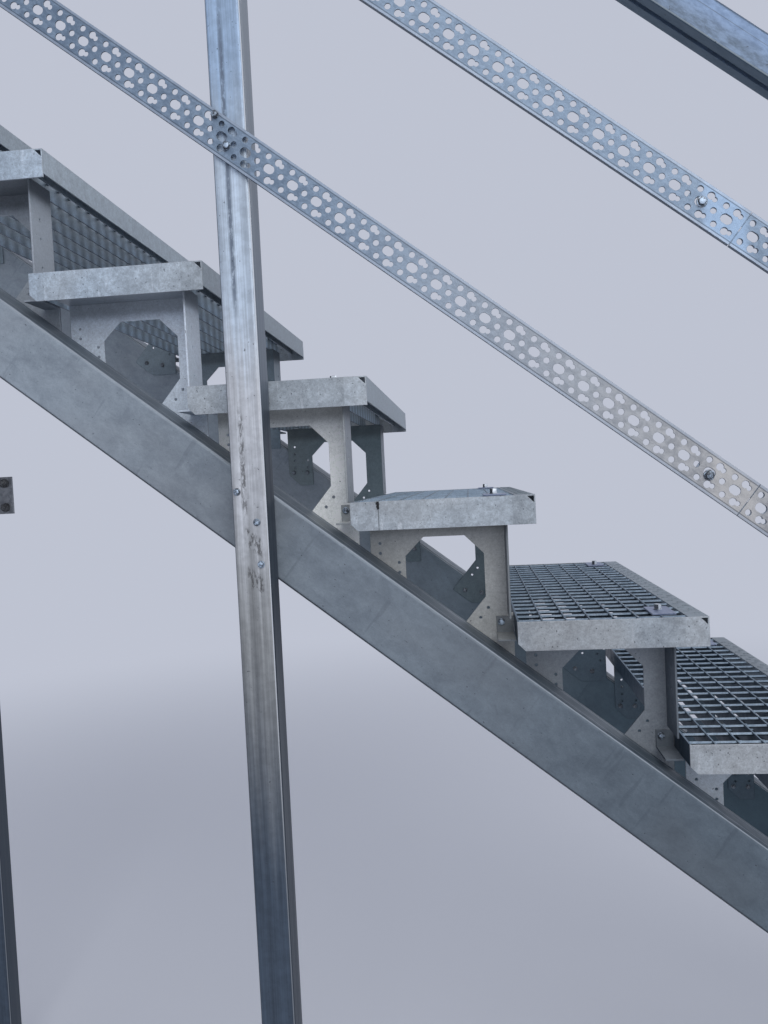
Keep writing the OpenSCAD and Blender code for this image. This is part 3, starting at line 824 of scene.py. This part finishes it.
def join(name, items):
    pick(*items)
    if len(items) > 1:
        bpy.ops.object.join()
    made = bpy.context.object
    made.name = name
    made.data.name = name
    return made


def chamfered(vertices, radius, depth, base, chamfer):
    """Round or six-sided disc on the xy plane from base upwards, with its upper rim cut back."""
    bpy.ops.mesh.primitive_cylinder_add(
        vertices=vertices, radius=radius, depth=depth, location=(0, 0, base + depth / 2),
    )
    made = bpy.context.object
    bpy.ops.object.transform_apply(location=True, rotation=True, scale=True)
    top = base + depth
    bpy.ops.object.mode_set(mode="EDIT")
    bpy.ops.mesh.select_all(action="DESELECT")
    bpy.ops.object.mode_set(mode="OBJECT")
    for edge in made.data.edges:
        heights = [made.data.vertices[i].co.z for i in edge.vertices]
        edge.select = all(abs(z - top) < 1e-6 for z in heights)
    bpy.ops.object.mode_set(mode="EDIT")
    bpy.ops.mesh.select_mode(type="EDGE")
    bpy.ops.mesh.bevel(offset=chamfer, segments=2, affect="EDGES")
    bpy.ops.object.mode_set(mode="OBJECT")
    return made


def hexagon_radius(across_flats):
    return across_flats / 2 / math.cos(math.pi / 6)


def hex_bolt(across_flats, head, flange):
    """Hexagon head on a thin flange, facing up; head height and flange width are shares of its width."""
    flange_t = across_flats * 0.12
    parts = [
        chamfered(20, across_flats * flange / 2, flange_t, 0, flange_t * 0.3),
        chamfered(
            6, hexagon_radius(across_flats), across_flats * head, flange_t, across_flats * 0.07,
        ),
    ]
    return join("bolt", parts)


def anchor_nut(across_flats):
    """Nut on a large washer with the end of a stud, at the origin and facing up."""
    washer_t = across_flats * 0.13
    nut_h = across_flats * 0.53
    stud_h = nut_h + across_flats * 0.35
    chamfer = across_flats * 0.06
    parts = [
        chamfered(24, across_flats * 0.63, washer_t, 0, washer_t * 0.3),
        chamfered(6, hexagon_radius(across_flats), nut_h, washer_t, chamfer),
        chamfered(16, across_flats * 0.315, stud_h, washer_t, chamfer),
    ]
    return join("nut", parts)


def stand(place, direction, turn):
    """Matrix that puts a fixing at a place, facing a direction and turned about it."""
    facing = Vector(direction).to_track_quat("Z", "Y").to_matrix().to_4x4()
    return Matrix.Translation(place) @ facing @ Matrix.Rotation(turn, 4, "Z")


def spread(name, pattern, matrices):
    """Copies a pattern by each matrix and joins the copies into one piece."""
    copies = []
    for matrix in matrices:
        item = pattern.copy()
        item.data = pattern.data.copy()
        bpy.context.scene.collection.objects.link(item)
        item.data.transform(matrix)
        copies.append(item)
    bpy.data.objects.remove(pattern)
    return join(name, copies)


def finish_piece(item, material):
    """Smooths, coats and hands over a finished piece."""
    pick(item)
    bpy.ops.object.shade_smooth_by_angle(angle=math.radians(30))
    item.data.materials.clear()
    item.data.materials.append(material)
    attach(item, BODY)


def add_fixings(name, pattern, matrices, material):
    """Spreads a bolt or nut over its places as one finished piece."""
    finish_piece(spread(name, pattern, matrices), material)


def add_bolts(name, places, size, head, flange, material=None):
    """Spreads a hexagon bolt over its places as one finished piece."""
    add_fixings(name, hex_bolt(size, head, flange), places, material or bolt_zinc())


def bolt_turn(index):
    """A different turn of each bolt's head about its axis."""
    return math.radians(17 + 47 * index % 60)


# Places of the fixings, from the posts, rails, brackets and treads of the frame, in metres

# Bolts of a post into the stringer: from the post's middle, and above the rear line there
POST_BOLTS = ((-0.0181, -0.0876), (0.0103, -0.1347), (0.0134, -0.1986))
# Bolts of a rail on a post: from the post's middle, and above the rail's middle there
RAIL_BOLTS = ((-0.0171, 0.0255), (-0.0021, -0.0092))
# Bolts of a bracket into the stringer: in front of the tread's rear edge, and above its top
LEG_BOLTS = ((0.028, -0.135), (0.061, -0.136), (0.177, -0.239), (0.216, -0.246))
# Bolt of a bracket's cleat on the outer side, in the same terms
CLEAT_BOLT = (0.229, -0.2105)
# Bolt of a grating clip: in front of the tread's rear edge, and from the tread's end
CLIP_BOLT = (0.224, 0.066)
# Bolt of a rail joint: from the joint along x, and above the rail's middle there
JOINT_BOLTS = {"lower": (-0.0533, -0.0040), "upper": (-0.0507, 0.0016)}
RAILS = ("lower", "upper")


def rail_line(rail, x):
    """Height of the middle of a rail at x."""
    centre = middle(f"{rail}_rail_b")
    return centre.z - (x - centre.x) * SLOPE


def post_bolt_places():
    for post in POSTS:
        post_x = middle(post).x
        for index, (along, above) in enumerate(POST_BOLTS):
            place = Vector((post_x + along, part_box(post)[0].y, rear_line(post_x) + above))
            if place.z > LOWEST:
                yield stand(place, OUT, bolt_turn(index))


def on_rail(rail, x, above):
    """Place on the outer face of a rail, above its middle line."""
    return Vector((x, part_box(f"{rail}_rail_a")[0].y, rail_line(rail, x) + above))


def rail_bolt_places():
    for rail in RAILS:
        for post in POSTS:
            for index, (along, above) in enumerate(RAIL_BOLTS):
                place = on_rail(rail, middle(post).x + along, above)
                yield stand(place, OUT, bolt_turn(index + 3))


def joint_bolt_places():
    for rail in RAILS:
        joint = (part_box(f"{rail}_rail_a")[1].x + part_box(f"{rail}_rail_b")[0].x) / 2
        along, above = JOINT_BOLTS[rail]
        yield stand(on_rail(rail, joint + along, above), OUT, bolt_turn(5))


def leg_bolt_places():
    near_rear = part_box("near_brackets_3")[0].x
    for side in SIDES:
        low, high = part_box(f"{side}_brackets_1")
        face = high.y if side == "near" else low.y
        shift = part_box(f"{side}_brackets_3")[0].x - near_rear
        for tread in TREADS:
            origin = tread_origin(tread, side)
            for index, (along, above) in enumerate(LEG_BOLTS):
                place = Vector((origin.x + shift + along, face, origin.z + above))
                if place.z > LOWEST:
                    yield stand(place, ACROSS * inward(side), bolt_turn(index + 1))


def cleat_bolt_places():
    stringer_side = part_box("near_stringer")[1].y
    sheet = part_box("near_brackets_1")[1].y - stringer_side
    face = stringer_side - sheet
    along, above = CLEAT_BOLT
    for index, tread in enumerate(TREADS):
        origin = tread_origin(tread, "near")
        place = Vector((origin.x + along, face, origin.z + above))
        if place.z > LOWEST:
            yield stand(place, OUT, bolt_turn(index))


def clip_bolt_places():
    along, inside = CLIP_BOLT
    for side in SIDES:
        clip_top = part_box(f"{side}_clips")[1].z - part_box(TREADS[-1])[1].z
        offset = Vector((along, inward(side) * inside, clip_top))
        for index, tread in enumerate(TREADS):
            yield stand(tread_origin(tread, side) + offset, UP, bolt_turn(index))


def mount_places(of_tie):
    """(place, direction) of each hole of the bolt patterns of the wall tie, or of the others."""
    millimetre = 0.001
    for mount in frame["record"]["mounts"]:
        if mount["kind"] != "bolt_pattern" or mount["name"].startswith("wall_tie") != of_tie:
            continue
        axis = Vector(mount["axis"])
        first, second = (way for way in (ALONG, ACROSS, UP) if abs(way.dot(axis)) < 0.5)
        half_x, half_y = (
            mount["dims"].get(f"spacing_{way}_mm", 0) * millimetre / 2 for way in "xy"
        )
        corners = {(x * half_x, y * half_y) for x in (-1, 1) for y in (-1, 1)}
        for x, y in sorted(corners):
            yield Vector(mount["pos_m"]) + first * x + second * y, -axis


def plate_behind(place, direction):
    """Thickness of the plate that the hole at this place goes through."""
    gap = 1e-4
    for name in PLATES:
        low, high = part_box(name)
        if all(low[i] - gap <= place[i] <= high[i] + gap for i in range(3)):
            return abs((high - low).dot(direction))
    raise RuntimeError(f"no plate at {tuple(place)}")


def anchor_places(of_tie):
    for index, (place, direction) in enumerate(mount_places(of_tie)):
        surface = place + direction * plate_behind(place, direction)
        yield stand(surface, direction, bolt_turn(index))


# Operators


class STAIR_OT_stage(Operator):
    """Camera, lamps, pale floor and background"""

    bl_idname = "stair.stage"
    bl_label = "Stage"

    def execute(self, context):
        settings = stage_settings()
        self.add_camera(context, settings)
        self.add_world(context, settings)
        self.add_floor(settings)
        self.add_lamp("key_lamp", settings.key_power, *KEY_LAMP)
        self.add_lamp("fill_lamp", settings.fill_power, *FILL_LAMP)
        context.scene.view_settings.view_transform = "Standard"
        return {"FINISHED"}

    def add_camera(self, context, settings):
        data = bpy.data.cameras.new("camera")
        data.sensor_width = 36
        data.lens = settings.camera_lens
        camera = bpy.data.objects.new("camera", data)
        context.scene.collection.objects.link(camera)
        turn = Matrix.Rotation(settings.camera_turn, 4, "Z")
        tip = Matrix.Rotation(math.pi / 2 - settings.camera_down, 4, "X")
        roll = Matrix.Rotation(settings.camera_roll, 4, "Z")
        camera.matrix_world = Matrix.Translation(settings.camera_place) @ turn @ tip @ roll
        context.scene.camera = camera

    def add_world(self, context, settings):
        """Background at its full colour for the camera and mirrors, dimmer as a light."""
        world = context.scene.world or bpy.data.worlds.new("studio")
        context.scene.world = world
        world.use_nodes = True
        tree = Tree(world.node_tree)
        camera, mirror, through = (
            tree.node("LightPath", {}, f"Is {ray} Ray")
            for ray in ("Camera", "Glossy", "Transmission")
        )
        shown = camera | mirror | through
        background = world.node_tree.nodes["Background"]
        tree.feed(background.inputs["Color"], settings.pale)
        strength = shown * (1 - settings.sky_light) + settings.sky_light
        tree.feed(background.inputs["Strength"], strength)

    def add_floor(self, settings):
        """Pale floor that turns into the background far away."""
        bpy.ops.mesh.primitive_plane_add(size=settings.floor_size, location=(0, 0, 0))
        floor = bpy.context.object
        floor.name = "floor"
        finish = Finish("pale_floor")
        finish.feed(finish.surface.inputs["Base Color"], settings.floor_pale)
        finish.feed(finish.surface.inputs["Roughness"], 0.9)
        glow = finish.node("Emission", {"Color": settings.pale}, "Emission")
        away = finish.node("VectorMath", {0: finish.here}, "Value", operation="LENGTH")
        fade_start = settings.floor_fade * 0.35
        far = away.span(fade_start, settings.floor_fade)
        near = Field(finish, finish.surface.outputs["BSDF"])
        blend = finish.node("MixShader", {0: far, 1: near, 2: glow}, "Shader")
        finish.feed(finish.tree.nodes["Material Output"].inputs["Surface"], blend)
        floor.data.materials.append(finish.material)

    def add_lamp(self, name, power, place, target, size):
        data = bpy.data.lights.new(name, "AREA")
        data.size = size
        data.energy = power
        lamp = bpy.data.objects.new(name, data)
        bpy.context.scene.collection.objects.link(lamp)
        aim = (Vector(target) - Vector(place)).to_track_quat("-Z", "Y").to_matrix().to_4x4()
        lamp.matrix_world = Matrix.Translation(place) @ aim


class STAIR_OT_treads(Operator):
    """Zinc finish of the grating treads"""

    bl_idname = "stair.treads"
    bl_label = "Treads"

    def execute(self, context):
        coat(TREADS, tread_finish())
        return {"FINISHED"}


class STAIR_OT_brackets(Operator):
    """Finish of the step brackets on both sides"""

    bl_idname = "stair.brackets"
    bl_label = "Step brackets"

    def execute(self, context):
        for side in SIDES:
            names = [n for n in NODES if n.startswith(f"{side}_brackets")]
            coat(names, bracket_finish(side))
        return {"FINISHED"}


class STAIR_OT_stringers(Operator):
    """Finish of the two box stringers"""

    bl_idname = "stair.stringers"
    bl_label = "Stringers"

    def execute(self, context):
        for side in SIDES:
            coat([f"{side}_stringer"], stringer_finish(side))
        return {"FINISHED"}


class STAIR_OT_posts(Operator):
    """Finish of the posts"""

    bl_idname = "stair.posts"
    bl_label = "Posts"

    def execute(self, context):
        coat(POSTS, post_finish("post_zinc"))
        # The wall post is mostly in painted shade
        coat(["wall_post"], post_finish("wall_post_zinc", least_painted_shade=0.8))
        return {"FINISHED"}


class STAIR_OT_rails(Operator):
    """Finish of the perforated rails and their joint plates"""

    bl_idname = "stair.rails"
    bl_label = "Perforated rails"

    def execute(self, context):
        for rail in RAILS:
            names = [n for n in NODES if n.startswith(f"{rail}_rail_")]
            coat(names, rail_finish(rail))
        coat(["rail_joints"], bpy.data.materials["upper_rail_zinc"])
        return {"FINISHED"}


class STAIR_OT_handrail(Operator):
    """Finish of the handrail"""

    bl_idname = "stair.handrail"
    bl_label = "Handrail"

    def execute(self, context):
        coat(["handrail"], handrail_finish())
        return {"FINISHED"}


class STAIR_OT_plates(Operator):
    """Finish of the base plates, end plates and wall tie"""

    bl_idname = "stair.plates"
    bl_label = "Plates"

    def execute(self, context):
        coat(PLATES, plate_finish())
        return {"FINISHED"}


class STAIR_OT_clips(Operator):
    """Grating clips and their bolts"""

    bl_idname = "stair.clips"
    bl_label = "Grating clips"

    def execute(self, context):
        coat([f"{side}_clips" for side in SIDES], clip_finish())
        size = fixing_settings().clip_bolt
        bright = bolt_finish("clip_bolt_zinc", (0.86, 0.90, 0.93), upright=True)
        add_bolts("clip_bolts", clip_bolt_places(), size, head=0.7, flange=1.3, material=bright)
        return {"FINISHED"}


class STAIR_OT_post_bolts(Operator):
    """Bolts of the posts into the stringer"""

    bl_idname = "stair.post_bolts"
    bl_label = "Post bolts"

    def execute(self, context):
        size = fixing_settings().post_bolt
        add_bolts("post_bolts", post_bolt_places(), size, head=0.5, flange=1.44)
        return {"FINISHED"}


class STAIR_OT_rail_bolts(Operator):
    """Bolts of the rails on the posts and at their joints"""

    bl_idname = "stair.rail_bolts"
    bl_label = "Rail bolts"

    def execute(self, context):
        size = fixing_settings().rail_bolt
        add_bolts("rail_bolts", rail_bolt_places(), size, head=0.55, flange=1.22)
        add_bolts("rail_joint_bolts", joint_bolt_places(), size * 1.1, head=0.5, flange=1.5)
        return {"FINISHED"}


class STAIR_OT_leg_bolts(Operator):
    """Bolts of the brackets' legs into the stringers"""

    bl_idname = "stair.leg_bolts"
    bl_label = "Bracket bolts"

    def execute(self, context):
        size = fixing_settings().leg_bolt
        dull = bolt_finish("dull_bolt_zinc", (0.20, 0.23, 0.26))
        add_bolts("bracket_bolts", leg_bolt_places(), size, head=0.5, flange=1.4, material=dull)
        add_bolts("cleat_bolts", cleat_bolt_places(), size * 1.15, head=0.5, flange=1.4)
        return {"FINISHED"}


class STAIR_OT_anchors(Operator):
    """Nuts and studs in the base plates, end plates and wall tie"""

    bl_idname = "stair.anchors"
    bl_label = "Anchors"

    def execute(self, context):
        size = fixing_settings().anchor_nut
        material = weathered_bolt_finish()
        for name, of_tie in (("wall_tie_bolts", True), ("anchor_nuts", False)):
            add_fixings(name, anchor_nut(size), anchor_places(of_tie), material)
        return {"FINISHED"}


class STAIR_OT_nosing_ribs(Operator):
    """Anti-slip ribs on the nosings' top strips"""

    bl_idname = "stair.nosing_ribs"
    bl_label = "Nosing ribs"

    def execute(self, context):
        settings = fixing_settings()
        low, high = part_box(TREADS[0])
        count = int((high.y - low.y - 2 * settings.rib_pitch) / settings.rib_pitch)
        rows = []
        for index in range(settings.rib_rows):
            x = high.x - RIB_SETBACK - index * RIB_ROW_PITCH
            y = low.y + settings.rib_pitch * (1 + index / 2)
            rows.append(self.row(settings, count, Vector((x, y, high.z))))
        pattern = join("ribs", rows)
        steps = [Matrix.Translation((-GOING * k, 0, RISER * k)) for k in range(len(TREADS))]
        piece = spread("nosing_ribs", pattern, steps)
        finish_piece(piece, NODES[TREADS[0]].data.materials[0])
        return {"FINISHED"}

    def row(self, settings, count, start):
        """One row of low ribs along the nosing."""
        bpy.ops.mesh.primitive_cube_add(size=1)
        rib = bpy.context.object
        rib.scale = (settings.rib_l, settings.rib_w, settings.rib_h * 2)
        rib.location = start
        bpy.ops.object.transform_apply(location=True, rotation=True, scale=True)
        rounded = rib.modifiers.new("rounded", "BEVEL")
        rounded.width = settings.rib_h * 0.8
        rounded.segments = 2
        repeat = rib.modifiers.new("repeat", "ARRAY")
        repeat.count = count
        repeat.use_relative_offset = False
        repeat.use_constant_offset = True
        repeat.constant_offset_displace = (0, settings.rib_pitch, 0)
        for modifier in (rounded, repeat):
            bpy.ops.object.modifier_apply(modifier=modifier.name)
        return rib


class STAIR_PT_panel(Panel):
    """Lists the operators and settings of the stair's finish"""

    bl_label = "Stair"
    bl_idname = "STAIR_PT_panel"
    bl_space_type = "VIEW_3D"
    bl_region_type = "UI"
    bl_category = "Stair"

    def draw(self, context):
        for group in (stage_settings(), finish_settings(), fixing_settings()):
            box = self.layout.box()
            for name in group.__annotations__:
                box.prop(group, name)
        for operator in OPERATORS:
            self.layout.operator(operator.bl_idname)


SETTINGS = {
    "stair_stage": StairStageSettings,
    "stair_finish": StairFinishSettings,
    "stair_fixings": StairFixingSettings,
}
OPERATORS = (
    STAIR_OT_stage,
    STAIR_OT_treads,
    STAIR_OT_brackets,
    STAIR_OT_stringers,
    STAIR_OT_posts,
    STAIR_OT_rails,
    STAIR_OT_handrail,
    STAIR_OT_plates,
    STAIR_OT_clips,
    STAIR_OT_post_bolts,
    STAIR_OT_rail_bolts,
    STAIR_OT_leg_bolts,
    STAIR_OT_anchors,
    STAIR_OT_nosing_ribs,
)


def register():
    for item in (*SETTINGS.values(), *OPERATORS, STAIR_PT_panel):
        bpy.utils.register_class(item)
    for name, group in SETTINGS.items():
        setattr(bpy.types.Scene, name, PointerProperty(type=group))


def unregister():
    for name in SETTINGS:
        delattr(bpy.types.Scene, name)
    for item in (STAIR_PT_panel, *reversed(OPERATORS), *SETTINGS.values()):
        bpy.utils.unregister_class(item)


def main():
    register()
    for operator in OPERATORS:
        group, name = operator.bl_idname.split(".")
        getattr(getattr(bpy.ops, group), name)()


if __name__ == "__main__":
    main()
